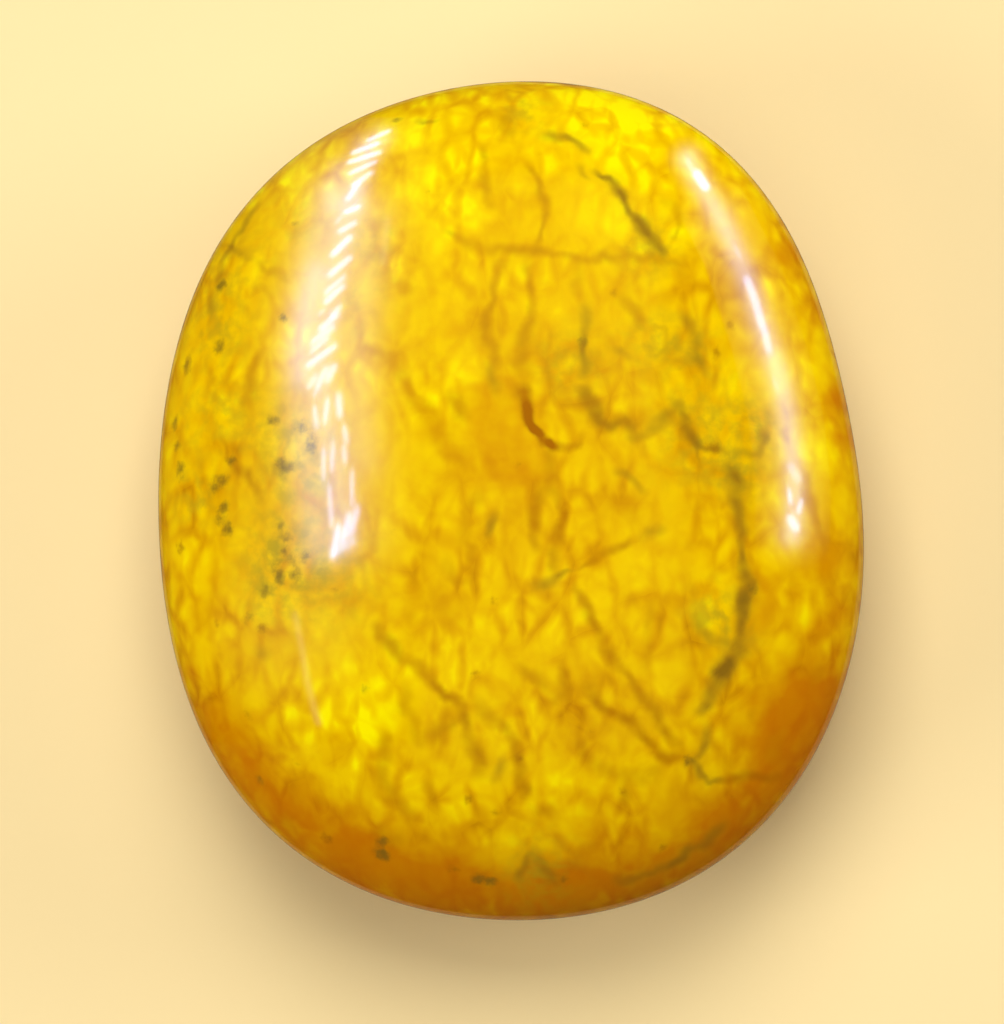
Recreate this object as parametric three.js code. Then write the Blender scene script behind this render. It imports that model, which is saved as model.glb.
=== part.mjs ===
// An oval palm stone: one hand-polished, domed pebble of veined yellow stone.
// Units are millimetres. +X is the width, +Y the length and +Z up, with the domed face on top.
// The origin is under the middle of the stone, on the surface that it lies on.
import * as THREE from "three";

// Outline seen from above: its radius every 30 degrees, counter-clockwise from +X.
const OUTLINE_RADII = [26.1, 27.0, 30.6, 31.1, 30.3, 27.8, 26.1, 27.8, 30.4, 31.0, 30.9, 28.4];

// Section: the widest line, or girdle, lies between a domed face and a slightly deeper belly.
const FACE_RISE = 10.7;
const BELLY_DROP = 11.3;
// 2 makes an ellipse, and more than 2 makes a fuller shoulder.
const FACE_FULLNESS = 2.25;
const BELLY_FULLNESS = 2.15;

// Facets. The rows next to the lower pole are the small flat spot that the stone rests on.
const COLUMNS = 96;
const ROWS = 36;
const FLAT_ROWS = 3;
const FLAT_SHARE = Math.sin((Math.PI * FLAT_ROWS) / ROWS);

const STONE_COLOUR = "#e2ab08";
const POLISH_ROUGHNESS = 0.12;
const SAME_ANGLE = 1e-9;

// The outline's radius at any angle, on one smooth closed curve through all the radii.
function outlineRadius(angle) {
  const count = OUTLINE_RADII.length;
  let radius = 0;
  OUTLINE_RADII.forEach((value, k) => {
    const turn = angle - (2 * Math.PI * k) / count;
    const atRadius = Math.abs(Math.sin(turn / 2)) < SAME_ANGLE;
    const weight = atRadius ? 1 : Math.sin((count * turn) / 2) / (count * Math.tan(turn / 2));
    radius += value * weight;
  });
  return radius;
}

// Height over the girdle, where share goes from 0 at the middle to 1 at the outline.
function faceHeight(share) {
  return FACE_RISE * Math.sqrt(Math.max(0, 1 - share ** FACE_FULLNESS));
}

// Depth under the girdle. It stays the same over the flat spot and curves up from its rim.
function bellyDepth(share) {
  const beyondFlat = Math.max(0, (share - FLAT_SHARE) / (1 - FLAT_SHARE));
  return BELLY_DROP * Math.sqrt(Math.max(0, 1 - beyondFlat ** BELLY_FULLNESS));
}

// A unit sphere with its poles up and down, each point moved out to the stone's surface.
function stoneGeometry() {
  const geometry = new THREE.SphereGeometry(1, COLUMNS, ROWS);
  geometry.rotateX(Math.PI / 2);
  const points = geometry.getAttribute("position");
  for (let i = 0; i < points.count; i += 1) {
    const [x, y, z] = [points.getX(i), points.getY(i), points.getZ(i)];
    const share = Math.min(1, Math.hypot(x, y));
    const angle = Math.atan2(y, x);
    const radius = share * outlineRadius(angle);
    const height = z < 0 ? -bellyDepth(share) : faceHeight(share);
    points.setXYZ(i, radius * Math.cos(angle), radius * Math.sin(angle), height);
  }
  geometry.center();
  geometry.computeBoundingBox();
  geometry.translate(0, 0, -geometry.boundingBox.min.z);
  geometry.computeVertexNormals();
  return geometry;
}

const stone = new THREE.Mesh(
  stoneGeometry(),
  new THREE.MeshStandardMaterial({ color: STONE_COLOUR, roughness: POLISH_ROUGHNESS, metalness: 0 }),
);
stone.name = "stone";

const palmStone = new THREE.Group();
palmStone.add(stone);

export default palmStone;
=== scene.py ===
# %% [markdown]
# # An oval palm stone of veined yellow stone
#
# This lesson dresses one polished pebble. It loads the measured solid, sets the camera, models a fine
# smooth skin over the solid, draws the veins on it, mixes the stone's colours and lights it like a
# jeweller's photo.

import math
import random
from collections import namedtuple

import bmesh
import bpy
import numpy as np
from mathutils import Matrix, Quaternion, Vector, noise
from mathutils.bvhtree import BVHTree
from mathutils.interpolate import poly_3d_calc


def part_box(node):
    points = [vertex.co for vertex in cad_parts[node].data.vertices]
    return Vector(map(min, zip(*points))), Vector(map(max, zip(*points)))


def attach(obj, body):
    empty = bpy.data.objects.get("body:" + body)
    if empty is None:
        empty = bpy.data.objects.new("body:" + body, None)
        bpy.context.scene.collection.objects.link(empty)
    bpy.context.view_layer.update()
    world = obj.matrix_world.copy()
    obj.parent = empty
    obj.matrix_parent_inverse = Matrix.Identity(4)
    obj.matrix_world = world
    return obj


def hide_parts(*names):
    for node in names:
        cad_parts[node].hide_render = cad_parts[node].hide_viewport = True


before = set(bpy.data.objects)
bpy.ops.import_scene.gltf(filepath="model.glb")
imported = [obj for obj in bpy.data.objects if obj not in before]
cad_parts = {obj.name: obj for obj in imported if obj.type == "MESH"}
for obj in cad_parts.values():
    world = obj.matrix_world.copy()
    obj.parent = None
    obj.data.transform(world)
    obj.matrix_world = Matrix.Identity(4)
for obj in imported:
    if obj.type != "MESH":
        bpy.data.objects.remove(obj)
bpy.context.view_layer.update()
MM = 0.001
stone_low, stone_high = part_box("stone")
print("stone, mm:", [round((high - low) / MM, 2) for low, high in zip(stone_low, stone_high)])

# %% [markdown]
# ## The camera
#
# The photograph looks down on the stone's domed face from close by, a few degrees off its axis. The
# camera could be moved by hand until the outline fits. Here it is worked out from the scale of the
# photograph, so that a length on the stone and its length in the picture belong together.

# %% Camera
PHOTO_WIDTH_PX = 1004
PHOTO_HEIGHT_PX = 1024
STONE_MIDDLE_PX = (509, 499)
PX_PER_MM = 13.53
CAMERA_DISTANCE_MM = 400
LEAN_RIGHT = math.radians(6)
LEAN_DOWN = math.radians(4)
SENSOR_MM = 36
GIRDLE_HEIGHT_MM = 11.3

stone_middle = Vector((
    (stone_low[0] + stone_high[0]) / 2,
    (stone_low[1] + stone_high[1]) / 2,
    GIRDLE_HEIGHT_MM * MM,
))
toward_camera = Vector((math.sin(LEAN_RIGHT), -math.sin(LEAN_DOWN), 0))
toward_camera.z = math.sqrt(1 - toward_camera.length_squared)
picture_right = Vector((0, 1, 0)).cross(toward_camera).normalized()
picture_up = toward_camera.cross(picture_right)


def in_picture(right_mm, up_mm):
    """The point that lies so far right and up of the stone's middle in the picture, in the girdle's plane."""
    return stone_middle + (picture_right * right_mm + picture_up * up_mm) * MM


aim = in_picture(
    (PHOTO_WIDTH_PX / 2 - STONE_MIDDLE_PX[0]) / PX_PER_MM,
    (STONE_MIDDLE_PX[1] - PHOTO_HEIGHT_PX / 2) / PX_PER_MM,
)
camera_data = bpy.data.cameras.new("photo_camera")
camera_data.sensor_width = SENSOR_MM
camera_data.lens = SENSOR_MM * CAMERA_DISTANCE_MM * PX_PER_MM / PHOTO_HEIGHT_PX
camera = bpy.data.objects.new("photo_camera", camera_data)
bpy.context.scene.collection.objects.link(camera)
camera.location = aim + toward_camera * CAMERA_DISTANCE_MM * MM
camera.rotation_mode = "QUATERNION"
camera.rotation_quaternion = Matrix((picture_right, picture_up, toward_camera)).transposed().to_quaternion()
bpy.context.scene.camera = camera
print("lens, mm:", round(camera_data.lens, 1))

# %% [markdown]
# ## The stone's skin
#
# A palm stone is sawn, ground and tumbled until every edge is gone, so its form is one smooth closed
# surface. A UV sphere would crowd its faces at two poles and show them in the gloss. A cube that is
# subdivided and blown up to a ball has even faces all round. Each point of that ball is then moved to
# the stone's own outline and section.

# %% A ball of even faces
CELLS_PER_SIDE = 128

bm = bmesh.new()
bmesh.ops.create_cube(bm, size=2)
bmesh.ops.subdivide_edges(bm, edges=bm.edges[:], cuts=CELLS_PER_SIDE - 1, use_grid_fill=True)
stone_mesh = bpy.data.meshes.new("palm_stone")
bm.to_mesh(stone_mesh)
bm.free()
cube_points = np.empty(len(stone_mesh.vertices) * 3)
stone_mesh.vertices.foreach_get("co", cube_points)
ball = np.tan(cube_points.reshape(-1, 3) * math.pi / 4)
ball /= np.linalg.norm(ball, axis=1, keepdims=True)
print("points:", len(ball))

# %% The outline and the section
OUTLINE_RADII_MM = [26.1, 27.0, 30.6, 31.1, 30.3, 27.8, 26.1, 27.8, 30.4, 31.0, 30.9, 28.4]
FACE_RISE_MM = 10.7
BELLY_DROP_MM = 11.3
FACE_FULLNESS = 2.25
BELLY_FULLNESS = 2.15
FLAT_EDGE_DEGREES = 15
FLAT_SHARE = math.sin(math.radians(FLAT_EDGE_DEGREES))
SAME_ANGLE = 1e-9


def outline_radius(angle):
    """The outline's radius at an angle, on one smooth curve through the gauges that stand round it."""
    count = len(OUTLINE_RADII_MM)
    radius = np.zeros_like(angle)
    for place, gauge in enumerate(OUTLINE_RADII_MM):
        away = (angle - place * math.tau / count + math.pi) % math.tau - math.pi
        away = np.where(np.abs(away) < SAME_ANGLE, SAME_ANGLE, away)
        radius += gauge * np.sin(count * away / 2) / (count * np.tan(away / 2))
    return radius


def section_height(share, above):
    """Height over the girdle, where share runs from 0 at the middle of the stone to 1 at its outline."""
    past_flat = np.clip((share - FLAT_SHARE) / (1 - FLAT_SHARE), 0, 1)
    face = FACE_RISE_MM * np.sqrt(np.clip(1 - share**FACE_FULLNESS, 0, 1))
    belly = -BELLY_DROP_MM * np.sqrt(np.clip(1 - past_flat**BELLY_FULLNESS, 0, 1))
    return np.where(above, face, belly)


share = np.clip(np.hypot(ball[:, 0], ball[:, 1]), 0, 1)
angle = np.arctan2(ball[:, 1], ball[:, 0])
reach = share * outline_radius(angle)
height = section_height(share, ball[:, 2] >= 0)
skin = np.stack([reach * np.cos(angle), reach * np.sin(angle), height], axis=1)
skin *= MM
skin += (np.array(stone_low) + np.array(stone_high)) / 2 - (skin.min(axis=0) + skin.max(axis=0)) / 2
print("skin, mm:", np.round((skin.max(axis=0) - skin.min(axis=0)) / MM, 2))

# %% [markdown]
# Polishing by hand never leaves a perfect curve. The wheel cuts soft spots a little deeper, which
# nobody sees until a lamp's reflection runs over them and wavers. A shallow noise pushes the domed face
# in and out along its normals by hundredths of a millimetre. The flat spot underneath stays as it is.

# %% The waver of the polish
WAVER_DEPTH_MM = 0.03
WAVER_LENGTH_MM = 9.0

stone_mesh.vertices.foreach_set("co", skin.ravel())
stone_mesh.update()
normals = np.empty(len(stone_mesh.vertices) * 3)
stone_mesh.vertices.foreach_get("normal", normals)
normals = normals.reshape(-1, 3)
waver = np.array([noise.noise(Vector(point) / (WAVER_LENGTH_MM * MM)) for point in skin])
waver = np.clip(waver, -1, 0) * np.clip(ball[:, 2] + 1, 0, 1)
skin += normals * (waver * WAVER_DEPTH_MM * MM)[:, None]
stone_mesh.vertices.foreach_set("co", skin.ravel())
stone_mesh.polygons.foreach_set("use_smooth", [True] * len(stone_mesh.polygons))
stone_mesh.update()
stone = bpy.data.objects.new("palm_stone", stone_mesh)
bpy.context.scene.collection.objects.link(stone)

bm = bmesh.new()
bm.from_mesh(stone_mesh)
stone_tree = BVHTree.FromBMesh(bm)
bm.free()
print("waver, mm:", round(float(waver.min() * WAVER_DEPTH_MM), 3))

# %% [markdown]
# ## Veins
#
# Veins are old cracks that filled with darker mineral. A texture could scatter them, but this stone is
# known by its own: a grey one at the upper right, a long one that zigzags down the right half, and a
# brown hook near the middle. Each is drawn as a short list of points in millimetres from the stone's
# middle, as the picture shows them, and cast on to the stone along the camera's sight. Halving its
# steps with small sideways moves gives it the wiggle of a crack.

# %% Drawing a line on the stone
Line = namedtuple("Line", "half_width strength points")
STEP_MM = 0.8
WIGGLE = 0.18
SEED = 11
draw = random.Random(SEED)


def on_stone(right_mm, up_mm):
    """The point of the skin that shows at this place in the picture, or None beside the stone."""
    sight = (in_picture(right_mm, up_mm) - camera.location).normalized()
    return stone_tree.ray_cast(camera.location, sight)[0]


def wiggled(points):
    """The same path with its long steps halved again and again, each new point a little to one side."""
    path = [Vector(points[0])]
    for place in points[1:]:
        start, end = path[-1], Vector(place)
        run = [start, end]
        while (run[1] - run[0]).length > STEP_MM:
            finer = [run[0]]
            for near, far in zip(run, run[1:]):
                along = far - near
                aside = Vector((-along.y, along.x)) * draw.uniform(-WIGGLE, WIGGLE)
                finer += [(near + far) / 2 + aside, far]
            run = finer
        path += run[1:]
    return path


def cast(line):
    """A drawn line as points of the skin."""
    places = [on_stone(*place) for place in wiggled(line.points)]
    return np.array([place for place in places if place is not None])


# %% The grey veins and a painted rim shade
GREY_VEINS_AND_RIM_SHADE = [
    Line(0.24, 0.7, [(2.1, 27.2), (3.0, 26.9), (4.2, 26.8), (4.9, 26.5), (5.4, 26.0), (6.3, 25.6)]),
    Line(0.32, 0.95, [
        (6.0, 24.4), (6.8, 23.8), (7.8, 23.3), (8.4, 22.5), (8.7, 21.6), (9.2, 20.9), (9.8, 20.3),
        (10.3, 19.5), (10.9, 19.0), (11.4, 18.3), (11.4, 17.6),
    ]),
    Line(0.30, 0.75, [(5.6, 14.7), (5.7, 13.6), (5.5, 12.3), (5.4, 10.9), (5.7, 9.9), (5.4, 8.6)]),
    Line(0.28, 0.55, [
        (5.4, 8.6), (5.8, 7.3), (6.7, 5.7), (7.5, 5.3), (8.6, 5.8), (9.1, 4.6), (9.6, 4.6), (10.4, 5.0),
        (10.9, 5.5), (11.6, 6.2), (12.5, 7.0), (12.8, 6.3), (13.0, 5.5), (13.5, 4.6), (14.1, 3.9),
        (15.1, 3.7), (15.9, 3.6), (16.4, 3.1),
    ]),
    Line(0.40, 0.85, [
        (16.4, 3.1), (16.6, 1.9), (16.8, 0.9), (16.8, -0.3), (17.0, -1.3), (17.3, -2.4), (17.2, -3.8),
        (17.3, -5.0), (17.8, -6.3), (17.4, -7.6), (17.2, -8.9),
    ]),
    Line(0.44, 1.15, [
        (17.6, -6.8), (17.3, -8.0), (17.2, -9.0), (17.1, -10.0), (17.1, -11.2), (16.4, -12.0),
        (15.7, -12.9), (15.3, -13.7),
    ]),
    Line(0.36, 0.75, [(16.0, -12.5), (15.2, -13.9), (14.8, -14.8), (14.1, -15.7), (13.8, -16.2)]),
    Line(0.22, 0.55, [(14.9, -16.4), (14.5, -18.2), (13.4, -19.6)]),
    Line(0.26, 0.75, [(12.9, -19.2), (13.5, -19.4), (14.1, -20.4), (14.8, -21.0), (16.0, -20.8)]),
    Line(0.28, 0.8, [(-0.8, -0.7), (-1.3, -1.8), (-1.9, -3.0)]),
    Line(0.20, 0.35, [(-21.2, 18.9), (-20.0, 18.2), (-18.6, 17.7)]),
    Line(0.30, 0.5, [(-7.0, 28.1), (-5.8, 27.9), (-5.0, 28.1)]),
    Line(0.28, 0.5, [(1.9, -25.9), (1.2, -27.2), (0.6, -28.4)]),
    # Painted shade: this grey line is a dark band along the lower right rim, where the rim turns away from
    # the light.
    Line(0.42, 0.6, [(7.6, -28.4), (10.0, -27.7), (12.2, -26.9), (14.6, -25.6), (16.4, -24.0)]),
    Line(0.26, 0.7, [(13.0, 14.0), (13.5, 12.5), (13.7, 10.9), (14.1, 9.2)]),
    Line(0.22, 0.5, [(5.2, 25.0), (5.5, 23.9), (6.1, 23.5)]),
    Line(0.24, 0.4, [(13.5, 4.8), (13.9, 3.7), (14.2, 2.5)]),
    Line(0.30, 0.45, [(16.5, 3.2), (17.4, 3.4), (18.5, 3.4), (19.0, 4.5), (18.2, 5.2)]),
    Line(0.28, 0.4, [
        (10.3, 12.0), (10.7, 12.8), (11.6, 12.6), (11.5, 11.3), (10.9, 10.6), (10.3, 10.7),
    ]),
    Line(0.35, 0.45, [(-18.2, 22.2), (-19.5, 20.3), (-20.5, 18.6), (-21.4, 16.2), (-22.0, 13.4)]),
    Line(0.36, 0.45, [(13.6, -8.0), (13.8, -9.2), (14.6, -10.0), (15.6, -10.4), (16.9, -10.6)]),
    Line(0.20, 0.5, [(7.5, 2.2), (8.6, 1.9), (9.3, 1.3), (10.5, 0.4)]),
    Line(0.20, 0.5, [(7.3, 11.2), (8.3, 10.9), (9.2, 10.3)]),
    Line(0.28, 0.45, [(9.3, -2.9), (10.4, -2.5), (11.9, -2.1)]),
    Line(0.26, 0.6, [(1.6, -6.8), (2.6, -6.3), (3.7, -5.6), (5.0, -5.3)]),
    Line(0.28, 0.5, [(2.0, -26.0), (2.6, -27.3), (3.4, -28.3), (4.1, -28.0)]),
    Line(0.28, 0.5, [(0.0, -19.0), (-0.7, -20.0), (-1.6, -20.9)]),
    Line(0.35, 0.4, [(-1.4, 10.4), (-1.3, 9.0), (-1.2, 7.5)]),
    Line(0.40, 0.35, [(-18.7, -10.6), (-17.6, -11.9)]),
]

# %% The brown cracks
BROWN_CRACKS = [
    Line(0.21, 0.60, [
        (-5.2, 20.0), (-3.6, 19.2), (-2.3, 18.7), (0.0, 18.4), (1.9, 18.3), (3.3, 18.1), (4.8, 17.9),
        (6.9, 18.1), (8.5, 18.0), (9.6, 17.8), (11.4, 17.5), (12.7, 17.3), (13.8, 17.0),
    ]),
    Line(0.26, 0.9, [(0.0, 8.1), (1.1, 8.0), (1.4, 6.9)]),
    Line(0.20, 1.9, [(1.2, 7.8), (1.4, 6.4), (1.8, 5.2), (2.5, 4.3), (3.2, 3.9), (4.0, 3.8)]),
    Line(0.24, 0.6, [(3.0, 3.9), (4.3, 3.7), (5.2, 3.9), (5.6, 5.0)]),
    Line(0.36, 0.8, [(5.4, 8.7), (5.8, 7.3), (6.7, 5.6), (7.5, 5.3), (8.6, 5.8), (9.1, 4.5)]),
    Line(0.30, 0.45, [(12.4, 7.0), (13.0, 5.5), (13.5, 4.5), (14.1, 3.7)]),
    Line(0.26, 0.8, [(14.8, -21.0), (16.2, -20.7), (17.6, -20.4), (20.4, -20.5)]),
    Line(0.20, 0.75, [(5.0, -5.3), (6.2, -4.6), (7.1, -3.9), (8.6, -3.4), (9.6, -2.9)]),
    Line(0.25, 0.75, [
        (4.9, -5.8), (5.4, -7.4), (6.0, -8.7), (7.0, -11.0), (8.5, -12.6), (9.3, -13.8), (10.1, -14.9),
        (11.2, -16.7), (11.9, -17.8), (12.8, -18.8),
    ]),
    Line(0.26, 0.75, [
        (5.4, -13.4), (6.3, -14.6), (7.0, -15.5), (8.4, -16.2), (9.5, -17.1), (10.6, -18.2),
        (11.7, -19.2), (13.0, -19.5),
    ]),
    Line(0.34, 0.8, [
        (-10.2, -9.0), (-9.2, -10.4), (-8.3, -11.4), (-7.2, -12.0), (-6.3, -12.8), (-5.5, -13.8),
        (-4.8, -14.6), (-3.9, -14.8), (-3.4, -15.5), (-3.1, -16.8), (-2.7, -18.2), (-2.1, -19.5),
        (-2.1, -20.9),
    ]),
    Line(0.28, 0.75, [
        (-2.3, -14.4), (-1.9, -15.7), (-1.0, -16.5), (0.0, -17.3), (0.6, -18.5), (0.9, -19.9),
        (1.3, -21.5), (1.5, -22.5),
    ]),
    Line(0.22, 0.6, [(-21.5, 4.9), (-20.8, 3.0), (-19.3, 1.9), (-18.6, 0.7), (-17.9, -0.5)]),
    Line(0.20, 0.5, [(1.4, 25.2), (2.2, 23.5), (2.7, 22.0), (2.6, 20.5), (2.2, 19.0), (1.9, 18.3)]),
    Line(0.26, 0.6, [(-0.9, 28.6), (-0.3, 27.6), (0.2, 26.6)]),
    Line(0.26, 0.6, [(-1.9, 26.4), (-1.8, 24.5), (-1.7, 23.0), (-1.1, 21.2)]),
    Line(0.20, 0.4, [(-18.8, 17.8), (-17.4, 16.8), (-16.2, 15.7)]),
    Line(0.26, 0.5, [(0.8, -11.9), (2.0, -13.1), (3.4, -14.6)]),
    Line(0.30, 0.5, [(-7.3, -13.4), (-7.7, -15.6), (-6.7, -17.7), (-4.7, -17.1), (-3.5, -15.6)]),
    Line(0.22, 0.6, [
        (3.1, 4.2), (3.1, 2.5), (3.1, 0.8), (3.7, -0.5), (3.7, -2.8), (3.2, -3.9), (3.2, -5.0),
        (3.8, -5.6),
    ]),
    Line(0.24, 0.5, [(1.4, 18.0), (1.5, 16.2), (1.7, 14.0), (1.0, 11.4), (0.2, 9.6)]),
    Line(0.22, 0.5, [(4.7, 17.9), (4.9, 15.8), (5.5, 14.4)]),
    Line(0.25, 0.6, [(-0.5, 18.0), (-1.0, 16.2), (-1.6, 13.8), (-1.6, 11.6), (-1.0, 9.4)]),
    Line(0.25, 0.5, [(7.7, 15.2), (8.8, 14.4), (9.7, 13.2), (10.0, 12.4)]),
    Line(0.26, 0.5, [(2.6, -14.9), (3.3, -14.9), (4.2, -14.3), (4.1, -13.0), (3.9, -11.7)]),
    Line(0.34, 0.5, [
        (-9.4, -16.8), (-9.2, -18.6), (-9.4, -20.7), (-8.6, -22.2), (-7.6, -23.0), (-6.3, -23.6),
    ]),
    Line(0.24, 0.45, [(-6.5, -20.6), (-5.8, -21.7), (-5.2, -23.2)]),
    Line(0.30, 0.5, [(-5.2, -4.2), (-4.3, -5.4), (-3.0, -6.5)]),
    Line(0.28, 0.5, [
        (5.4, -17.4), (5.6, -18.8), (6.5, -19.7), (7.8, -20.2), (9.8, -20.7), (10.4, -19.6),
    ]),
    Line(0.24, 0.4, [(11.2, 22.7), (12.2, 21.6), (12.6, 20.2), (11.9, 18.5)]),
    Line(0.26, 0.55, [(2.9, 0.9), (2.1, 0.0), (1.9, -1.5), (1.7, -2.8), (2.0, -4.2)]),
    Line(0.24, 0.45, [(10.0, -13.2), (10.2, -11.5), (10.3, -10.0), (10.6, -8.6), (10.8, -7.2)]),
    Line(0.28, 0.5, [(-4.6, 8.2), (-3.9, 7.2), (-3.2, 5.6)]),
    Line(0.28, 0.4, [(-2.0, 0.9), (-2.6, -0.4), (-3.2, -2.0), (-3.8, -3.6)]),
    Line(0.28, 0.45, [(-3.0, -2.8), (-2.8, -4.5), (-2.9, -6.6)]),
    Line(0.28, 0.4, [(-7.0, -14.2), (-7.6, -15.0), (-7.5, -16.2)]),
    Line(0.30, 0.45, [(-4.7, -14.9), (-4.9, -16.6), (-6.2, -17.3)]),
    Line(0.28, 0.4, [(8.3, -7.2), (9.6, -8.2)]),
    Line(0.30, 0.55, [(10.5, -19.4), (10.4, -21.0)]),
    Line(0.30, 0.6, [(8.4, -20.6), (8.6, -21.8), (8.3, -23.3)]),
    Line(0.28, 0.45, [(1.5, -22.6), (2.8, -23.0), (3.9, -23.0)]),
    Line(0.28, 0.5, [(-9.4, -23.8), (-9.4, -25.3), (-8.2, -25.1), (-7.5, -24.8)]),
    Line(0.30, 0.4, [(18.2, -15.3), (17.8, -16.6)]),
    Line(0.30, 0.45, [(-18.0, 11.4), (-19.0, 9.5), (-19.0, 7.5), (-19.8, 5.6)]),
    Line(0.25, 0.4, [(12.9, -3.0), (13.9, -3.7)]),
]

# %% The amber seams
AMBER_SEAMS = [
    Line(0.42, 0.6, [
        (-11.5, 11.5), (-10.0, 11.0), (-8.5, 10.3), (-7.9, 9.2), (-7.4, 7.9), (-6.5, 6.8), (-5.7, 6.0),
        (-5.3, 4.8), (-4.7, 3.9), (-3.8, 3.3), (-2.9, 2.4),
    ]),
    Line(0.40, 0.4, [(-6.6, -2.0), (-7.0, -3.5)]),
    Line(0.35, 0.5, [(-5.0, -5.8), (-4.9, -8.0), (-4.2, -9.0), (-3.4, -9.8)]),
    Line(0.55, 0.5, [(0.7, 11.2), (1.0, 10.0), (1.9, 8.5)]),
    Line(0.30, 0.7, [(22.1, 2.2), (22.4, -0.3), (22.9, -2.5), (23.6, -4.2)]),
    Line(0.60, 0.5, [(22.4, -12.0), (23.0, -13.8)]),
    Line(0.60, 0.6, [
        (16.8, 0.9), (17.1, -1.6), (17.3, -4.6), (17.6, -6.6), (17.2, -9.4), (16.8, -11.6),
    ]),
    Line(0.60, 0.5, [(19.6, -17.0), (19.9, -20.0)]),
    Line(0.40, 0.5, [(-10.0, 17.3), (-8.5, 16.0), (-6.8, 15.2)]),
    Line(0.40, 0.5, [(-9.8, 20.9), (-9.6, 19.3)]),
    Line(0.50, 0.5, [(-17.0, -23.0), (-15.2, -24.4)]),
    Line(0.35, 0.45, [(6.9, -0.2), (8.0, -0.3), (9.0, -0.9), (9.8, -1.9)]),
    Line(0.45, 0.5, [(-8.0, -8.4), (-6.9, -9.3)]),
]
DRAWN = {"amber": AMBER_SEAMS, "brown": BROWN_CRACKS, "grey": GREY_VEINS_AND_RIM_SHADE}
print("drawn lines:", sum(map(len, DRAWN.values())))

# %% [markdown]
# The belly and the sides have veins too, which the picture doesn't show. They are walked instead of
# drawn: a path starts near the rim, takes short steps along the skin and turns a little at each step.
# The random numbers start from a fixed seed, so every run makes the same veins.

# %% Walked lines for the hidden side
WALKS_PER_KIND = 16
WALK_STEP_MM = 0.7
WALK_TURN = math.radians(11)
FEWEST_STEPS = 14
MOST_STEPS = 48
RIM_CLEARANCE_MM = 2.0
WALK_STEEPNESS = 0.3
WALKED_HALF_WIDTHS_MM = (0.16, 0.34)
WALKED_STRENGTHS = (0.35, 0.85)


def hidden_point():
    """A random point of the skin below the girdle."""
    while True:
        point = Vector(skin[draw.randrange(len(skin))])
        if point.z < stone_middle.z:
            return point


def walked():
    """A path over the hidden side of the skin, as points of the skin."""
    place = hidden_point()
    heading = Vector([draw.uniform(-limit, limit) for limit in (1, 1, WALK_STEEPNESS)])
    path = []
    for _ in range(draw.randint(FEWEST_STEPS, MOST_STEPS)):
        place, normal = stone_tree.find_nearest(place)[:2]
        if place.z > stone_middle.z + RIM_CLEARANCE_MM * MM:
            break
        path.append(place)
        heading = (heading - normal * heading.dot(normal)).normalized()
        heading.rotate(Quaternion(normal, draw.gauss(0, WALK_TURN)))
        place = place + heading * WALK_STEP_MM * MM
    return np.array(path)


Traced = namedtuple("Traced", "half_width strength path")
traced = {}
for kind, lines in DRAWN.items():
    traced[kind] = [Traced(line.half_width, line.strength, cast(line)) for line in lines]
    for _ in range(WALKS_PER_KIND):
        path = walked()
        if len(path) > FEWEST_STEPS / 2:
            half_width = draw.uniform(*WALKED_HALF_WIDTHS_MM)
            strength = draw.uniform(*WALKED_STRENGTHS)
            traced[kind].append(Traced(half_width, strength, path))
print("lines in all:", sum(len(found) for found in traced.values()))

# %% [markdown]
# A crack is finer than the skin's faces, so painting it on the points would fray it. Instead each point
# stores how far it lies to the left or right of the nearest line. That number changes evenly from face
# to face and passes through zero exactly on the line, so the material can draw a crisp edge anywhere
# between the points. A point can follow only one line, so lines that come near each other are sorted
# into separate layers. Each field is three numbers: millimetres across to the line, its half width and
# its strength. A field ends a short way from its line, and the first number jumps there, so the
# strength has faded to zero before that.

# %% Distance fields of the lines
REACH_MM = 1.7
FACE_MM = 0.45
FADE_MM = 0.7
TAPER_MM = 0.9
WIDTH_CHANGE_MM = 2.4
STRENGTH_CHANGE_MM = 4.5
WIDTH_CHANGE = 0.8
STRENGTH_CHANGE = 0.5
LINE_GAP_MM = 2.9
EMPTY_FIELD = (REACH_MM, 1.0, 0.0)


def layered(lines):
    """Sorts lines into layers so that no two of one layer come near each other."""
    layers = []
    for line in lines:
        for layer in layers:
            gaps = [np.linalg.norm(line.path[:, None] - other.path, axis=2).min() for other in layer]
            if min(gaps) > LINE_GAP_MM * MM:
                layer.append(line)
                break
        else:
            layers.append([line])
    return layers


def nib(point):
    """How the line's width and strength vary at a point, as a pen's would."""
    wide = 1 + WIDTH_CHANGE * noise.noise(Vector(point) / (WIDTH_CHANGE_MM * MM))
    strong = 1 + STRENGTH_CHANGE * noise.noise(Vector(point) / (STRENGTH_CHANGE_MM * MM))
    return wide, strong


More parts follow.
